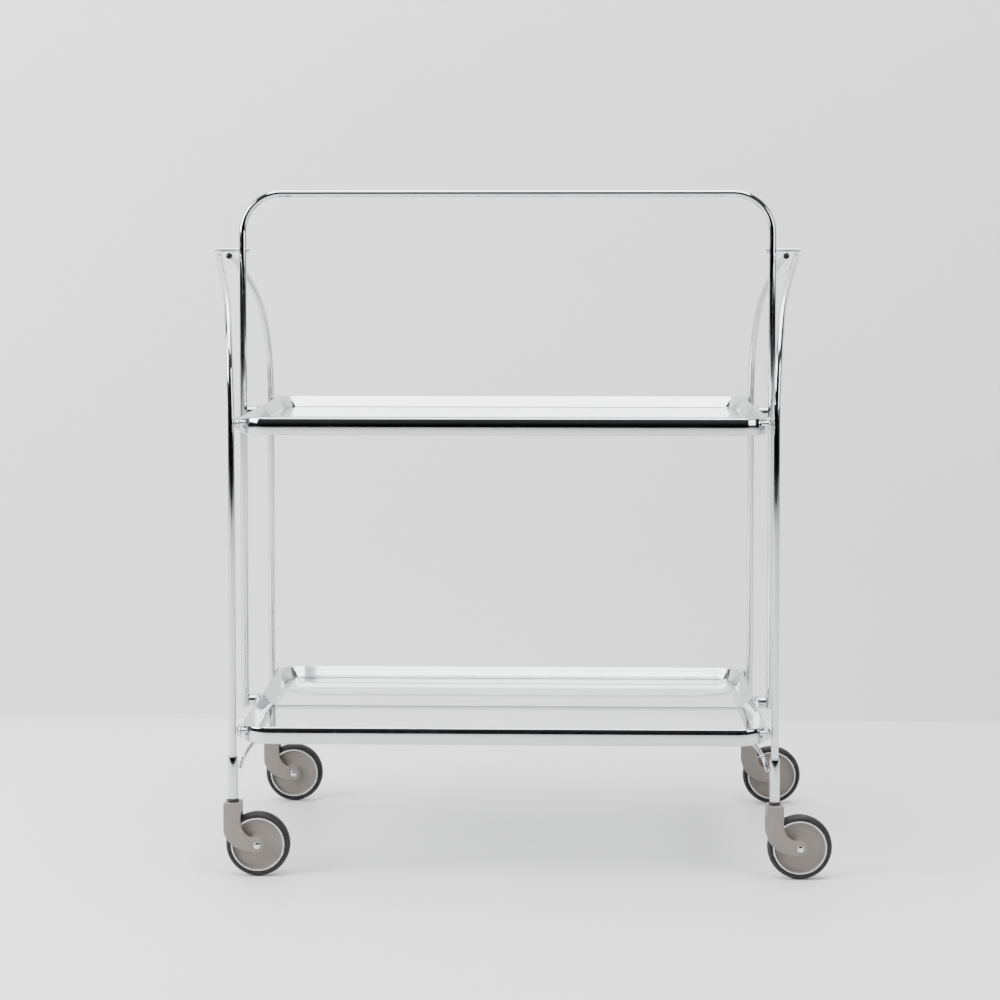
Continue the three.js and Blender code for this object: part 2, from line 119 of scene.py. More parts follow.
@dataclass(frozen=True)
class Finish:
    """A surface with fine unevenness in its colour, gloss and height.

    It drifts between colour and darker, and between smoothest and roughest. A larger grain is a
    finer pattern, and relief is its height in metres.
    """

    name: str
    colour: tuple[float, float, float]
    darker: tuple[float, float, float]
    metallic: float
    smoothest: float
    roughest: float
    grain: float
    relief: float
    transmission: float = 0.0
    refraction: float = 1.5
    cloud_size: float = 12
    cloud_detail: float = 5
    grain_detail: float = 3
    bump_strength: float = 0.3

    def build(self) -> bpy.types.Material:
        """Makes the material.

        Returns:
            The material, with all its patterns on Object coordinates.
        """
        material = bpy.data.materials.new(self.name)
        material.use_nodes = True
        nodes = material.node_tree.nodes
        links = material.node_tree.links
        shader = nodes["Principled BSDF"]
        shader.inputs["Metallic"].default_value = self.metallic
        shader.inputs["IOR"].default_value = self.refraction
        shader.inputs["Transmission Weight"].default_value = self.transmission
        place = nodes.new("ShaderNodeTexCoord")
        cloud = nodes.new("ShaderNodeTexNoise")
        cloud.inputs["Scale"].default_value = self.grain / self.cloud_size
        cloud.inputs["Detail"].default_value = self.cloud_detail
        fine = nodes.new("ShaderNodeTexNoise")
        fine.inputs["Scale"].default_value = self.grain
        fine.inputs["Detail"].default_value = self.grain_detail
        tint = nodes.new("ShaderNodeMix")
        tint.data_type = "RGBA"
        tint.inputs["A"].default_value = (*self.darker, 1)
        tint.inputs["B"].default_value = (*self.colour, 1)
        gloss = nodes.new("ShaderNodeMapRange")
        gloss.inputs["To Min"].default_value = self.smoothest
        gloss.inputs["To Max"].default_value = self.roughest
        bump = nodes.new("ShaderNodeBump")
        bump.inputs["Strength"].default_value = self.bump_strength
        bump.inputs["Distance"].default_value = self.relief
        links.new(place.outputs["Object"], cloud.inputs["Vector"])
        links.new(place.outputs["Object"], fine.inputs["Vector"])
        links.new(cloud.outputs["Fac"], tint.inputs["Factor"])
        links.new(cloud.outputs["Fac"], gloss.inputs["Value"])
        links.new(fine.outputs["Fac"], bump.inputs["Height"])
        links.new(tint.outputs["Result"], shader.inputs["Base Color"])
        links.new(gloss.outputs["Result"], shader.inputs["Roughness"])
        links.new(bump.outputs["Normal"], shader.inputs["Normal"])
        return material


FINISHES = {
    Slot.CHROME: Finish(
        "polished_chrome", colour=(0.61, 0.62, 0.63), darker=(0.55, 0.56, 0.575), metallic=1,
        smoothest=0.04, roughest=0.13, grain=300, relief=0.00001),
    Slot.GLASS: Finish(
        "clear_glass", colour=(0.97, 0.99, 0.985), darker=(0.95, 0.98, 0.97), metallic=0,
        smoothest=0.0, roughest=0.03, grain=60, relief=0.000002, transmission=1.0),
    Slot.TAUPE: Finish(
        "taupe_plastic", colour=(0.205, 0.185, 0.166), darker=(0.17, 0.152, 0.137), metallic=0,
        smoothest=0.38, roughest=0.55, grain=1400, relief=0.00004),
    Slot.TYRE: Finish(
        "black_rubber", colour=(0.004, 0.004, 0.004), darker=(0.002, 0.002, 0.002), metallic=0,
        smoothest=0.5, roughest=0.7, grain=1800, relief=0.00005),
    Slot.BLACK: Finish(
        "black_seal", colour=(0.018, 0.018, 0.019), darker=(0.01, 0.01, 0.011), metallic=0,
        smoothest=0.3, roughest=0.45, grain=1500, relief=0.00003),
}
MATERIALS = {slot: finish.build() for slot, finish in FINISHES.items()}


# ---------------------------------------------------------------- shaping


def deselect_all() -> None:
    """Leaves object mode with nothing selected."""
    if bpy.context.object and bpy.context.object.mode != "OBJECT":
        bpy.ops.object.mode_set(mode="OBJECT")
    bpy.ops.object.select_all(action="DESELECT")


def pick(piece: bpy.types.Object) -> None:
    """Makes a piece the only one selected, and the active one.

    Args:
        piece: the piece.
    """
    deselect_all()
    piece.select_set(True)
    bpy.context.view_layer.objects.active = piece


def close_up(piece: bpy.types.Object) -> None:
    """Merges doubles, closes open ends and turns all faces out.

    Args:
        piece: the piece.
    """
    pick(piece)
    bpy.ops.object.mode_set(mode="EDIT")
    bpy.ops.mesh.select_all(action="SELECT")
    bpy.ops.mesh.remove_doubles(threshold=MERGE_DISTANCE)
    bpy.ops.mesh.fill_holes(sides=0)
    bpy.ops.mesh.select_all(action="SELECT")
    bpy.ops.mesh.normals_make_consistent(inside=False)
    bpy.ops.object.mode_set(mode="OBJECT")


def soften(piece: bpy.types.Object, width: float, steps: int = 3) -> None:
    """Rounds the sharp edges of a piece and shades it smooth.

    Args:
        piece: the piece.
        width: width of the rounding, in metres.
        steps: faces across it.
    """
    pick(piece)
    bevel = piece.modifiers.new("edge", "BEVEL")
    bevel.width = width
    bevel.segments = steps
    bevel.limit_method = "ANGLE"
    bevel.angle_limit = SHARP_ANGLE
    bpy.ops.object.modifier_apply(modifier=bevel.name)
    bpy.ops.object.shade_smooth_by_angle(angle=SHARP_ANGLE)


def tube(points: list[Vector], radius: float) -> bpy.types.Object:
    """A round bar along points, closed at both ends.

    Args:
        points: middle line.
        radius: radius of the bar.

    Returns:
        The bar.
    """
    deselect_all()
    bpy.ops.curve.primitive_bezier_curve_add()
    piece = bpy.context.object
    piece.data.splines.clear()
    spline = piece.data.splines.new("POLY")
    spline.points.add(len(points) - 1)
    for place, point in zip(spline.points, points):
        place.co = (*point, 1)
    piece.data.bevel_depth = radius
    piece.data.bevel_resolution = TUBE_RESOLUTION
    piece.data.use_fill_caps = True
    piece.matrix_world = Matrix.Identity(4)
    bpy.ops.object.convert(target="MESH")
    piece = bpy.context.object
    close_up(piece)
    soften(piece, TUBE_EDGE)
    return piece


def turned(profile: list[tuple[float, float]], axis: Axis, place: Vector, steps: int = 48,
           ring: bool = False, edge: float = 0.3 * MM) -> bpy.types.Object:
    """A turned piece.

    Args:
        profile: [radius, height] points. They begin and end on the axis, unless it is a ring.
        axis: where its height points.
        place: where its zero height lies.
        steps: faces round it.
        ring: whether the profile closes on itself.
        edge: rounding of its edges.

    Returns:
        The piece.
    """
    deselect_all()
    bpy.ops.mesh.primitive_circle_add(vertices=len(profile), radius=1)
    piece = bpy.context.object
    for corner, (radius, height) in zip(piece.data.vertices, profile):
        corner.co = (radius, 0, height)
    bpy.ops.object.mode_set(mode="EDIT")
    if not ring:
        bpy.ops.mesh.select_all(action="DESELECT")
        bpy.ops.object.mode_set(mode="OBJECT")
        last = len(profile) - 1
        for line in piece.data.edges:
            line.select = set(line.vertices) == {0, last}
        bpy.ops.object.mode_set(mode="EDIT")
        bpy.ops.mesh.select_mode(type="EDGE")
        bpy.ops.mesh.delete(type="EDGE_FACE")
        bpy.ops.mesh.select_mode(type="VERT")
    bpy.ops.mesh.select_all(action="SELECT")
    bpy.ops.mesh.spin(steps=steps, angle=2 * math.pi, center=(0, 0, 0), axis=(0, 0, 1))
    bpy.ops.object.mode_set(mode="OBJECT")
    piece.data.transform(Matrix.Translation(place) @ TURNS[axis])
    close_up(piece)
    soften(piece, edge)
    return piece


def plate(outline: list[tuple[float, float]], thickness: float, edge: float,
          turn: Matrix) -> bpy.types.Object:
    """A flat plate with rounded edges.

    Args:
        outline: its outline.
        thickness: its thickness, half on each side of the outline's plane.
        edge: rounding of its edges.
        turn: where the outline's plane goes.

    Returns:
        The plate.
    """
    deselect_all()
    bpy.ops.mesh.primitive_circle_add(vertices=len(outline), radius=1)
    piece = bpy.context.object
    for corner, (x, y) in zip(piece.data.vertices, outline):
        corner.co = (x, y, -thickness / 2)
    bpy.ops.object.mode_set(mode="EDIT")
    bpy.ops.mesh.select_all(action="SELECT")
    bpy.ops.mesh.edge_face_add()
    bpy.ops.mesh.extrude_region_move(TRANSFORM_OT_translate={"value": (0, 0, thickness)})
    bpy.ops.object.mode_set(mode="OBJECT")
    piece.data.transform(turn)
    close_up(piece)
    soften(piece, edge)
    return piece


def box_piece(low: Vector, high: Vector, edge: float) -> bpy.types.Object:
    """A block with rounded edges between two corners.

    Args:
        low: its lowest corner.
        high: its highest corner.
        edge: rounding of its edges.

    Returns:
        The block.
    """
    deselect_all()
    bpy.ops.mesh.primitive_cube_add(size=1)
    piece = bpy.context.object
    size = high - low
    piece.data.transform(Matrix.Translation((low + high) / 2) @ Matrix.Diagonal((*size, 1)))
    soften(piece, edge)
    return piece


def joined(pieces: list[bpy.types.Object]) -> bpy.types.Object:
    """Joins pieces into the first.

    Args:
        pieces: the pieces.

    Returns:
        The joined piece.
    """
    pick(pieces[0])
    for piece in pieces[1:]:
        piece.select_set(True)
    bpy.ops.object.join()
    return bpy.context.object


def arc(x: float, y: float, radius: float, start: float, end: float, steps: int) -> list[tuple[float, float]]:
    """Points on an arc.

    Args:
        x: first coordinate of its middle.
        y: second coordinate of its middle.
        radius: its radius.
        start: angle that it starts at, in degrees.
        end: angle that it ends at, in degrees.
        steps: lines along it.

    Returns:
        The points, ends included.
    """
    angles = [math.radians(start + (end - start) * i / steps) for i in range(steps + 1)]
    return [(x + radius * math.cos(a), y + radius * math.sin(a)) for a in angles]


def bezier(knots: list[tuple[float, float]], steps: int = 12) -> list[tuple[float, float]]:
    """Points on a Bezier curve of any degree.

    Args:
        knots: its control points.
        steps: lines along it.

    Returns:
        The points, without the first one.
    """
    points = []
    for i in range(1, steps + 1):
        level = [Vector(k) for k in knots]
        while len(level) > 1:
            level = [a.lerp(b, i / steps) for a, b in zip(level, level[1:])]
        points.append(tuple(level[0]))
    return points


def bar_profile(radius: float, length: float) -> list[tuple[float, float]]:
    """Profile of a plain round bar that starts at zero height."""
    return [(0, 0), (radius, 0), (radius, length), (0, length)]


def through(knots: list[Vector], steps: int) -> list[Vector]:
    """Points on a smooth centripetal curve through knots.

    Args:
        knots: points on the way.
        steps: points between each two knots.

    Returns:
        The points, ends included.
    """
    padded = [2 * knots[0] - knots[1], *knots, 2 * knots[-1] - knots[-2]]
    points = [knots[0]]
    for a, b, c, d in zip(padded, padded[1:], padded[2:], padded[3:]):
        t1 = (b - a).length ** 0.5
        t2 = t1 + (c - b).length ** 0.5
        t3 = t2 + (d - c).length ** 0.5
        for i in range(1, steps + 1):
            t = t1 + (t2 - t1) * i / steps
            ab = a.lerp(b, t / t1)
            bc = b.lerp(c, (t - t1) / (t2 - t1))
            cd = c.lerp(d, (t - t2) / (t3 - t2))
            abc = ab.lerp(bc, t / t2)
            bcd = bc.lerp(cd, (t - t1) / (t3 - t1))
            points.append(abc.lerp(bcd, (t - t1) / (t2 - t1)))
    return points


def settle(piece: bpy.types.Object, node: str, body: str, slot: Slot, suffix: str = "finished") -> None:
    """Names a piece, dresses it and hands it to the frame in place of a CAD node.

    Args:
        piece: the new piece.
        node: the CAD node that it stands for.
        body: the body that it rides on.
        slot: its finish.
        suffix: last word of its name.
    """
    piece.name = f"{node}_{suffix}"
    piece.data.name = piece.name
    piece.data.materials.clear()
    piece.data.materials.append(MATERIALS[slot])
    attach(piece, body)
    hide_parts(node)
    LOG.info("%s: %d faces", piece.name, len(piece.data.polygons))


# ---------------------------------------------------------------- sub-assemblies


@dataclass
class Handle:
    """The bent handle tube, its stop bars and its hinge plates."""

    radius: float = 4.75 * MM
    bend: float = 48 * MM
    stop_radius: float = 2.5 * MM
    stop_head: float = 1.5 * MM
    stop_head_length: float = 3 * MM
    stop_edge: float = 0.5 * MM
    stop_steps: int = 32
    bend_steps: int = 24
    plate_thick: float = 2.5 * MM
    plate_gap: float = 1.3 * MM
    plate_edge: float = 0.4 * MM
    crown_drop: float = 0.5 * MM
    crown_steps: int = 8
    shoulder: float = 0.6
    seam_pin: float = 12 * MM
    seam_rise: float = 4.5 * MM
    pin_radius: float = 3 * MM
    pin_depth: float = 5.5 * MM
    boss_radius: float = 7 * MM
    boss_rise: float = 13 * MM
    body: str = "handle"

    def build(self) -> None:
        """Makes every piece of the handle."""
        self.build_tube()
        for side in Side:
            self.build_stop_bar(side)
            for tray in TRAYS:
                self.build_hinge_plate(tray, side)

    def build_tube(self) -> None:
        """Makes the tube: up one side, over two bends and down the other side."""
        low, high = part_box("handle_tube")
        centre_x = (low.x + high.x) / 2
        reach = (high.x - low.x) / 2 - self.radius
        bend_z = high.z - self.radius - self.bend
        points = [Vector((centre_x - reach, 0, low.z))]
        for x, start, end in ((self.bend - reach, 180, 90), (reach - self.bend, 90, 0)):
            bend = arc(centre_x + x, bend_z, self.bend, start, end, self.bend_steps)
            points += [Vector((a, 0, b)) for a, b in bend]
        points.append(Vector((centre_x + reach, 0, low.z)))
        settle(tube(points, self.radius), "handle_tube", self.body, Slot.CHROME)

    def build_stop_bar(self, side: Side) -> None:
        """Makes one stop bar, with its head on the inside of the tube.

        Args:
            side: the side that it is on.
        """
        node = f"{side.name.lower()}_stop_bar"
        low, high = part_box(node)
        inner = low.x if side is Side.RIGHT else high.x
        place = Vector((inner, 0, (low.z + high.z) / 2))
        length = high.x - low.x
        head = self.stop_radius + self.stop_head
        profile = [(0, 0), (head, 0), (head, self.stop_head_length),
                   (self.stop_radius, self.stop_head_length), (self.stop_radius, length), (0, length)]
        piece = turned(profile, Axis[side.name], place, self.stop_steps, edge=self.stop_edge)
        settle(piece, node, self.body, Slot.CHROME)

    def hinge_outline(self, half: float, bottom: float, rounded: float) -> list[tuple[float, float]]:
        """Outline of a hinge plate: a flat foot under a rounded crown.

        Args:
            half: half the width of the foot.
            bottom: height of the foot.
            rounded: height of the crown.

        Returns:
            The outline's points.
        """
        boss = self.boss_radius
        shoulder = rounded * self.shoulder
        outline = [(-half, bottom), (half, bottom)]
        outline += bezier([(half, bottom), (half, shoulder), (boss, rounded)], self.crown_steps)
        outline += [(-boss, rounded)]
        outline += bezier([(-boss, rounded), (-half, shoulder), (-half, bottom)], self.crown_steps)[:-1]
        return outline

    def build_hinge_plate(self, tray: str, side: Side) -> None:
        """Makes one hinge plate, with its boss against the tube and its two seam pins.

        Args:
            tray: the tray that it joins, upper or lower.
            side: the side that it is on.
        """
        node = f"{tray}_{side.name.lower()}_hinge_plate"
        axis = Axis[side.name]
        rim_low, rim_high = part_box(f"{tray}_front_rim")
        low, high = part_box(node)
        base = rim_low.z
        outline = self.hinge_outline(high.y, low.z - base, high.z - base - self.crown_drop)
        edge_x = rim_high.x if side is Side.RIGHT else rim_low.x
        plate_x = edge_x + side.value * (self.plate_gap + self.plate_thick / 2)
        turn = Matrix.Rotation(math.pi / 2, 4, "Z") @ Matrix.Rotation(math.pi / 2, 4, "X")
        stand = Matrix.Translation((plate_x, 0, base)) @ turn
        sheet = plate(outline, self.plate_thick, self.plate_edge, stand)
        outer_x = high.x if side is Side.RIGHT else low.x
        boss_place = Vector((plate_x, 0, base + self.boss_rise))
        boss = turned(bar_profile(self.boss_radius, abs(outer_x - plate_x)), axis, boss_place, ROUND_STEPS)
        pins = []
        pin_length = self.pin_depth + self.plate_gap + self.plate_thick / 2
        for end in End:
            place = Vector((plate_x - side.value * pin_length, end.value * self.seam_pin,
                            base + self.seam_rise))
            pins.append(turned(bar_profile(self.pin_radius, pin_length), axis, place, PIN_STEPS))
        settle(joined([sheet, boss, *pins]), node, self.body, Slot.CHROME)


@dataclass
class LegPair:
    """The two legs at one end, with their sleeves, stretcher and corner pivots."""

    end: End
    leg_radius: float = 4.25 * MM
    sleeve_wall: float = 1.15 * MM
    tip_seat: float = 1.5 * MM
    tip_overlap: float = 4 * MM
    bow_rise: float = 10 * MM
    bow_steps: int = 8
    stretcher_radius: float = 2.2 * MM
    stretcher_reach: float = 120 * MM
    stretcher_steps: int = 6
    pin_radius: float = 3 * MM
    knob_gap: float = 0.7 * MM
    dome_angle: float = 9
    dome_points: int = 7
    bow: tuple[tuple[float, float, float], ...] = (
        (0, 1, 0), (0.05, 0.97, 0.27), (0.16, 0.85, 0.51), (0.33, 0.66, 0.7), (0.62, 0.4, 0.86),
        (0.88, 0.16, 0.965))
    stretcher_route: tuple[tuple[float, float, float], ...] = (
        (0, 0, 0), (4, 0.1, 0.5), (12, 0.35, 0.92), (26, 0.78, 1), (54, 1, 1))

    @property
    def body(self) -> str:
        """Name of the body that the pair is."""
        return f"{self.end.name.lower()}_legs"

    def corner(self, side: Side) -> str:
        """Name of a corner, such as front_left."""
        return f"{self.end.name.lower()}_{side.name.lower()}"

    def build(self) -> None:
        """Makes every piece of the pair."""
        self.build_stretcher()
        for side in Side:
            self.build_leg(side)
            self.build_sleeve(side)
            for tray in TRAYS:
                self.build_pivot(tray, side)

    def build_leg(self, side: Side) -> None:
        """Makes one leg: straight up past the trays, then swept to its tip under the stop bar.

        Args:
            side: the side that it is on.
        """
        node = f"{self.corner(side)}_leg"
        low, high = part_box(node)
        post = middle(f"{self.corner(side)}_sleeve")
        stop_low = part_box(f"{side.name.lower()}_stop_bar")[0]
        tip_z = stop_low.z + self.tip_seat - self.leg_radius - FIT
        bow_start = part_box("upper_front_rim")[1].z + self.bow_rise
        outer_x = high.x - self.leg_radius if side is Side.RIGHT else low.x + self.leg_radius
        overlap = -self.end.value * self.tip_overlap
        knots = []
        for out, back, up in self.bow:
            x = post.x + (outer_x - post.x) * out
            knots.append(Vector((x, post.y * back, bow_start + (tip_z - bow_start) * up)))
        knots.append(Vector((outer_x, overlap, tip_z)))
        points = [Vector((post.x, post.y, low.z)), *through(knots, self.bow_steps)]
        settle(tube(points, self.leg_radius), node, self.body, Slot.CHROME)

    def build_sleeve(self, side: Side) -> None:
        """Makes the sleeve round the foot of a leg.

        Args:
            side: the side that it is on.
        """
        node = f"{self.corner(side)}_sleeve"
        low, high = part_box(node)
        bore = self.leg_radius + FIT
        outer = bore + self.sleeve_wall
        place = Vector(((low.x + high.x) / 2, (low.y + high.y) / 2, low.z))
        height = high.z - low.z
        profile = [(bore, 0), (outer, 0), (outer, height), (bore, height)]
        settle(turned(profile, Axis.UP, place, ROUND_STEPS, ring=True), node, self.body, Slot.CHROME)

    def build_stretcher(self) -> None:
        """Makes the rod between the sleeves, up under the lower tray."""
        node = f"{self.end.name.lower()}_stretcher"
        low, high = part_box(node)
        post = middle(f"{self.corner(Side.RIGHT)}_sleeve")
        centre_x = (low.x + high.x) / 2
        start_x = (high.x - low.x) / 2 - self.stretcher_radius
        start_z = low.z
        cross_z = high.z - self.stretcher_radius
        cross_y = self.end.value * self.stretcher_reach
        half = [(start_x - inward * MM, post.y + (cross_y - post.y) * back,
                 start_z + (cross_z - start_z) * up) for inward, back, up in self.stretcher_route]
        left = through([Vector((centre_x - x, y, z)) for x, y, z in half], self.stretcher_steps)
        right = through([Vector((centre_x + x, y, z)) for x, y, z in half], self.stretcher_steps)
        settle(tube([*left, *reversed(right)], self.stretcher_radius), node, self.body, Slot.CHROME)

    def build_pivot(self, tray: str, side: Side) -> None:
        """Makes a corner pivot: a pin into the rim and a domed knob against the leg.

        Args:
            tray: the tray that it holds, upper or lower.
            side: the side that it is on.
        """
        node = f"{tray}_{self.corner(side)}_pivot"
        low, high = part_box(node)
        rim_low, rim_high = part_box(f"{tray}_front_rim")
        edge_x = rim_high.x if side is Side.RIGHT else rim_low.x
        inner_x = low.x if side is Side.RIGHT else high.x
        pin = self.pin_radius
        knob = (high.z - low.z) / 2
        neck = abs(edge_x - inner_x) - self.knob_gap
        length = high.x - low.x
        dome = [(knob * math.cos(a), neck + (length - neck) * math.sin(a))
                for a in (math.radians(i * self.dome_angle) for i in range(1, self.dome_points + 1))]
        profile = [(0, 0), (pin, 0), (pin, neck), (knob, neck), *dome, (0, length)]
        place = Vector((inner_x, (low.y + high.y) / 2, (low.z + high.z) / 2))
        settle(turned(profile, Axis[side.name], place, ROUND_STEPS), node, self.body, Slot.CHROME)


@dataclass
class TrayRim:
    """One half of a tray's rim: a section swept round two corners, with a strip along the seam."""

    tray: str
    end: End
    corner: float = 34 * MM
    seam: float = 1.2 * MM
    strip: float = 8 * MM
    ledge: float = 2 * MM
    rim_edge: float = 0.7 * MM
    strip_edge: float = 0.3 * MM
    corner_steps: int = 20
    section: tuple[tuple[float, float], ...] = (
        (2.6, 0), (0.8, 0.7), (0, 2.4), (0, 17.8), (0.7, 19.5), (1.8, 20), (3, 20), (14, 6.3), (14, 2),
        (20, 2), (20, 0))

    def build(self) -> None:
        """Makes the half rim."""
        node = f"{self.tray}_{self.end.name.lower()}_rim"
        low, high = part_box(node)
        centre_x = (low.x + high.x) / 2
        half_width = (high.x - low.x) / 2
        half_depth = max(abs(low.y), abs(high.y))
        away = self.end.value
        deselect_all()
        bpy.ops.mesh.primitive_circle_add(vertices=len(self.section), radius=1)
        piece = bpy.context.object
        for point, (inset, height) in zip(piece.data.vertices, self.section):
            point.co = (inset * MM - half_width, away * self.seam, height * MM)
        bpy.ops.object.mode_set(mode="EDIT")
        bpy.ops.mesh.select_all(action="SELECT")
        run = half_depth - self.corner - self.seam
        self.extrude((0, away * run, 0))
        self.turn_corner(self.corner - half_width, away * (half_depth - self.corner))
        self.extrude((2 * (half_width - self.corner), 0, 0))
        self.turn_corner(half_width - self.corner, away * (half_depth - self.corner))
        self.extrude((0, -away * run, 0))
        bpy.ops.object.mode_set(mode="OBJECT")
        piece.data.transform(Matrix.Translation((centre_x, 0, low.z)))
        close_up(piece)
        soften(piece, self.rim_edge)
        inner = half_width - self.section[-1][0] * MM + FIT
        near = away * self.seam
        far = away * (self.seam + self.strip)
        strip_low = Vector((centre_x - inner, min(near, far), low.z))
        strip_high = Vector((centre_x + inner, max(near, far), low.z + self.ledge))
        strip = box_piece(strip_low, strip_high, self.strip_edge)
        body = f"{self.tray}_{self.end.name.lower()}_tray"
        settle(joined([piece, strip]), node, body, Slot.CHROME)

    def extrude(self, move: tuple[float, float, float]) -> None:
        """Draws the open end of the section along."""
        bpy.ops.mesh.extrude_region_move(TRANSFORM_OT_translate={"value": move})

    def turn_corner(self, x: float, y: float) -> None:
        """Sweeps the open end of the section round a corner's middle."""
        bpy.ops.mesh.spin(steps=self.corner_steps, angle=self.end.value * math.pi / 2,
                          center=(x, y, 0), axis=(0, 0, 1))


@dataclass
class Caster:
    """One swivel caster with its wheel, trailing to the right."""

    corner: str
    fork_gap: float = 1.3 * MM
    fork_arm: float = 3 * MM
    fork_half_width: float = 10 * MM
    fork_eye: float = 8.5 * MM
    fork_block: float = 13 * MM
    fork_bite: float = 1 * MM
    fork_edge: float = 0.9 * MM
    block_edge: float = 0.8 * MM
    eye_steps: int = 16
    back_start: float = 1.5
    back_pull: float = 1.07
    back_sweep: float = 0.28
    throat_sweep: float = 0.62
    throat_pull: float = 1.4
    throat_start: float = 1.75
    stem_radius: float = 4.2 * MM
    stem_head: float = 6.5 * MM
    stem_head_height: float = 1.8 * MM
    collar_shoulder: float = 0.6
    collar_step: float = 0.6 * MM
    axle_radius: float = 2.5 * MM
    axle_head: float = 1.5 * MM
    axle_dome: tuple[tuple[float, float], ...] = ((1, 0.6), (0.7, 0.1))
    tyre_depth: float = 6 * MM
    tyre_edge: float = 0.4 * MM
    tread_shoulder: float = 3 * MM
    tread_crown: float = 3.2 * MM
    tread_width: float = 0.94
    tread_angle: float = 15
    tread_points: int = 5
    hub_boss: float = 6.4 * MM
    dish: tuple[tuple[float, float], ...] = ((7.6, 7.4), (9.5, 5.2), (15, 3.6))
    bead: tuple[tuple[float, float], ...] = ((5, 3), (3, 3.8))
    lip_width: float = 2 * MM
    lip_drop: float = 1 * MM
    bright_ring: tuple[tuple[float, float], ...] = ((1.9, 0.05), (0.1, 0.05), (0.3, 0.55), (1.7, 0.55))
    bright_edge: float = 0.1 * MM

    def __post_init__(self) -> None:
        """Reads the caster's places from the frame."""
        self.wheel = middle(f"{self.corner}_caster_tyre")
        tyre_low, tyre_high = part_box(f"{self.corner}_caster_tyre")
        self.wheel_radius = (tyre_high.z - tyre_low.z) / 2
        self.tyre_half = (tyre_high.y - tyre_low.y) / 2
        hub_low, hub_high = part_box(f"{self.corner}_caster_hub")
        self.hub_half = (hub_high.y - hub_low.y) / 2
        self.stem = middle(f"{self.corner}_caster_swivel_stem")

    def build(self) -> None:
        """Makes every piece of the caster."""
        self.build_tyre()
        self.build_hub()
        self.build_axle()
        self.build_fork()
        self.build_stem()
        self.build_collar()

    def node(self, part: str) -> str:
        """Name of one of the caster's nodes."""
        return f"{self.corner}_caster_{part}"

    def build_tyre(self) -> None:
        """Makes the tyre, with a rounded tread."""
        wheel, half = self.wheel_radius, self.tyre_half
        inner = wheel - self.tyre_depth
        shoulder = wheel - self.tread_shoulder
        turns = range(-self.tread_points, self.tread_points + 1)
        tread = [(wheel - self.tread_crown * (1 - math.cos(a)), half * self.tread_width * math.sin(a))
                 for a in (math.radians(i * self.tread_angle) for i in turns)]
        profile = [(inner, -half), (shoulder, -half), *tread, (shoulder, half), (inner, half)]
        piece = turned(profile, Axis.BACK, self.wheel, WHEEL_STEPS, ring=True, edge=self.tyre_edge)
        settle(piece, self.node("tyre"), f"{self.corner}_wheel", Slot.TYRE)

    def build_hub(self) -> None:
        """Makes the dished hub, and the bright ring set in the edge of each of its faces."""
        rim = self.wheel_radius - self.tyre_depth - FIT
        bore = self.axle_radius + FIT
        lip = self.tyre_half - self.lip_drop
        face = [(bore, self.hub_half), (self.hub_boss, self.hub_half)]
        face += [(radius * MM, height * MM) for radius, height in self.dish]
        face += [(rim - inward * MM, height * MM) for inward, height in self.bead]
        face += [(rim - self.lip_width, lip), (rim, lip)]
        back = [(radius, -height) for radius, height in face]
        hub = turned([*back, *reversed(face)], Axis.BACK, self.wheel, WHEEL_STEPS, ring=True)
        settle(hub, self.node("hub"), f"{self.corner}_wheel", Slot.TAUPE)
        rings = []
        for end in End:
            flat = [(rim - inward * MM, end.value * (lip + rise * MM)) for inward, rise in self.bright_ring]
            rings.append(turned(flat, Axis.BACK, self.wheel, WHEEL_STEPS, ring=True, edge=self.bright_edge))
        settle(joined(rings), self.node("hub"), f"{self.corner}_wheel", Slot.CHROME, "bright_rings")

    def build_axle(self) -> None:
        """Makes the axle, with a domed head outside each fork arm."""
        low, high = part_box(self.node("axle"))
        head = (high.y - low.y) / 2
        cheek = self.hub_half + self.fork_gap + self.fork_arm + FIT
        cap = self.axle_radius + self.axle_head
        dome = [(cap * part, head - drop * MM) for part, drop in self.axle_dome]
        half = [(self.axle_radius, cheek), (cap, cheek), *dome, (0, head)]
        other = [(radius, -height) for radius, height in reversed(half)]
        piece = turned([*other, *half], Axis.BACK, self.wheel, ROUND_STEPS)
        settle(piece, self.node("axle"), f"{self.corner}_caster", Slot.CHROME)

    def build_fork(self) -> None:
        """Makes the fork: a swept arm on each side of the wheel, under a solid top."""
        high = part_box(self.node("fork"))[1]
        top, trail, wheel = high.z, self.wheel.x - self.stem.x, self.wheel_radius
        half, eye = self.fork_half_width, self.fork_eye
        under = wheel - eye
        back_z = wheel * self.back_start
        outline = [(-half, top), (-half, back_z)]
        outline += bezier([(-half, back_z), (-half, wheel * self.back_pull),
                           (trail * self.back_sweep, under), (trail, under)])
        outline += arc(trail, wheel, eye, -90, 90, self.eye_steps)[1:]
        throat = [(trail, wheel + eye), (trail * self.throat_sweep, wheel + eye),
                  (half, wheel * self.throat_pull), (half, wheel * self.throat_start)]
        outline += [*bezier(throat), (half, top)]
        inner = self.hub_half + self.fork_gap
        stand = Matrix.Rotation(math.pi / 2, 4, "X")
        pieces = []
        for end in End:
            y = self.stem.y + end.value * (inner + self.fork_arm / 2)
            move = Matrix.Translation((self.stem.x, y, 0))
            pieces.append(plate(outline, self.fork_arm, self.fork_edge, move @ stand))
        block_low = Vector((self.stem.x - half, self.stem.y - inner - self.fork_bite, top - self.fork_block))
        block_high = Vector((self.stem.x + half, self.stem.y + inner + self.fork_bite, top))
        pieces.append(box_piece(block_low, block_high, self.block_edge))
        settle(joined(pieces), self.node("fork"), f"{self.corner}_caster", Slot.TAUPE)

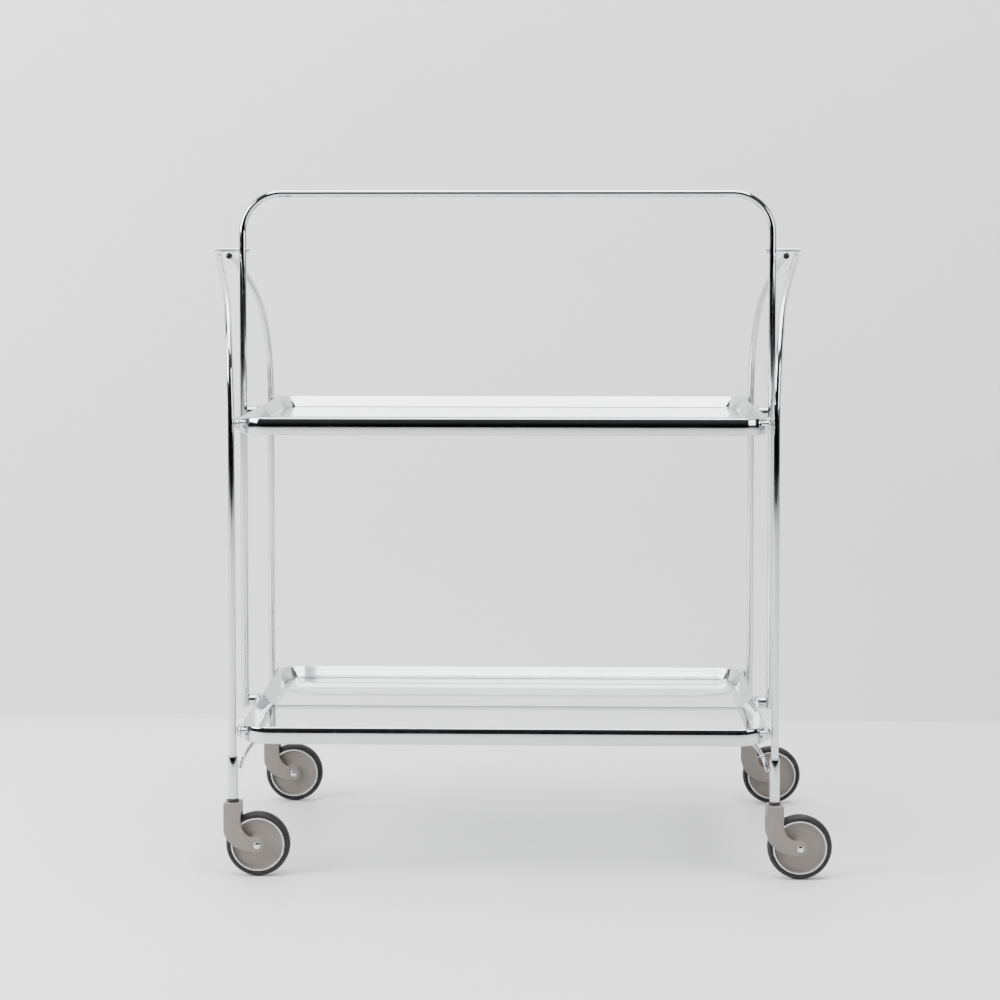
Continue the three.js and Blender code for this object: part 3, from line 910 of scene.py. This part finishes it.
    def build_stem(self) -> None:
        """Makes the swivel stem with its head under the fork's top."""
        low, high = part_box(self.node("swivel_stem"))
        place = Vector((self.stem.x, self.stem.y, low.z))
        height = high.z - low.z
        profile = [(0, 0), (self.stem_head, 0), (self.stem_head, self.stem_head_height),
                   (self.stem_radius, self.stem_head_height), (self.stem_radius, height), (0, height)]
        piece = turned(profile, Axis.UP, place, ROUND_STEPS)
        settle(piece, self.node("swivel_stem"), f"{self.corner}_caster", Slot.CHROME)

    def build_collar(self) -> None:
        """Makes the black collar between the fork and the sleeve."""
        low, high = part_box(self.node("swivel_collar"))
        place = Vector((self.stem.x, self.stem.y, low.z))
        bore, outer, height = self.stem_radius + FIT, (high.x - low.x) / 2, high.z - low.z
        profile = [(bore, 0), (outer, 0), (outer, height * self.collar_shoulder),
                   (outer - self.collar_step, height), (bore, height)]
        piece = turned(profile, Axis.UP, place, ring=True)
        settle(piece, self.node("swivel_collar"), f"{self.corner}_caster", Slot.BLACK)


# ---------------------------------------------------------------- studio


@dataclass
class Studio:
    """Pale floor and wall, soft lights and the camera."""

    wall_y: float = 0.73
    front_y: float = -3.6
    half_width: float = 5.0
    height: float = 4.0
    camera_place: tuple[float, float, float] = (0.058, -2.95, 0.731)
    camera_tilt: float = 87.02
    camera_turn: float = 1.5
    lens: float = 86.9
    sensor_width: float = 36
    shift_down: float = 0.13
    dim_below: float = 0.02
    bright_above: float = 0.35
    dim: float = 0.03
    bright: float = 1.9

    def build(self) -> None:
        """Makes the camera, the floor, the wall and the lights."""
        self.build_camera()
        middle_y = (self.wall_y + self.front_y) / 2
        width = 2 * self.half_width
        self.build_surface("floor", (0, middle_y, 0), (width, self.wall_y - self.front_y), tilt=0)
        self.build_surface("wall", (0, self.wall_y, self.height / 2), (width, self.height), tilt=90)
        self.build_light("overhead", (0, -0.4, 2.9), size=2.6, power=175, target=Vector((0, 0, 0.3)))
        self.build_light("window", (-2.6, -1.3, 1.7), size=1.8, power=135, target=Vector((0, 0, 0.5)))
        self.build_light("fill", (2.6, -1.9, 1.3), size=1.5, power=40, target=Vector((0, 0, 0.5)))
        self.build_world()

    def build_camera(self) -> None:
        """Makes the camera."""
        deselect_all()
        turn = (math.radians(self.camera_tilt), 0, math.radians(self.camera_turn))
        bpy.ops.object.camera_add(location=self.camera_place, rotation=turn)
        camera = bpy.context.object
        camera.data.sensor_width = self.sensor_width
        camera.data.lens = self.lens
        camera.data.shift_y = -self.shift_down
        bpy.context.scene.camera = camera

    def build_surface(self, name: str, place: tuple[float, float, float], size: tuple[float, float],
                      tilt: float) -> None:
        """Makes the floor or the wall.

        Args:
            name: its name.
            place: its middle.
            size: its width and its depth or height.
            tilt: how far it is turned up from the floor, in degrees.
        """
        deselect_all()
        bpy.ops.mesh.primitive_plane_add(size=1, location=place, rotation=(math.radians(tilt), 0, 0))
        surface = bpy.context.object
        surface.name = name
        surface.scale = (*size, 1)
        paint = Finish(
            f"{name}_paint", colour=(0.82, 0.82, 0.82), darker=(0.79, 0.79, 0.79), metallic=0,
            smoothest=0.4, roughest=0.6, grain=6, relief=0.0002)
        surface.data.materials.append(paint.build())

    def build_light(self, name: str, place: tuple[float, float, float], size: float, power: float,
                    target: Vector) -> None:
        """Makes one soft square light that faces a point.

        Args:
            name: its name.
            place: where it hangs.
            size: length of its side.
            power: its power, in watts.
            target: the point that it faces.
        """
        bpy.ops.object.light_add(type="AREA", location=place)
        light = bpy.context.object
        light.name = name
        light.data.size = size
        light.data.energy = power
        light.rotation_euler = (target - Vector(place)).to_track_quat("-Z", "Y").to_euler()

    def build_world(self) -> None:
        """Makes the room round the studio: bright above, dark near the horizon."""
        world = bpy.data.worlds.new("room")
        bpy.context.scene.world = world
        world.use_nodes = True
        nodes = world.node_tree.nodes
        links = world.node_tree.links
        direction = nodes.new("ShaderNodeTexCoord")
        split = nodes.new("ShaderNodeSeparateXYZ")
        rise = nodes.new("ShaderNodeMapRange")
        rise.inputs["From Min"].default_value = self.dim_below
        rise.inputs["From Max"].default_value = self.bright_above
        rise.inputs["To Min"].default_value = self.dim
        rise.inputs["To Max"].default_value = self.bright
        links.new(direction.outputs["Generated"], split.inputs["Vector"])
        links.new(split.outputs["Z"], rise.inputs["Value"])
        links.new(rise.outputs["Result"], nodes["Background"].inputs["Strength"])


def dress_glass() -> None:
    """Gives the CAD's four glass panels their material."""
    for tray in TRAYS:
        for end in End:
            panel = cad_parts[f"{tray}_{end.name.lower()}_glass"]
            if not panel.material_slots:
                panel.data.materials.append(None)
            for slot in panel.material_slots:
                slot.material = MATERIALS[Slot.GLASS]
            LOG.info("%s: dressed", panel.name)


def main() -> None:
    """Builds the studio and the cart."""
    logging.basicConfig(level=logging.INFO, format="%(message)s")
    Studio().build()
    Handle().build()
    for end in End:
        LegPair(end).build()
        for tray in TRAYS:
            TrayRim(tray, end).build()
        for side in Side:
            Caster(f"{end.name.lower()}_{side.name.lower()}").build()
    dress_glass()


if __name__ == "__main__":
    main()
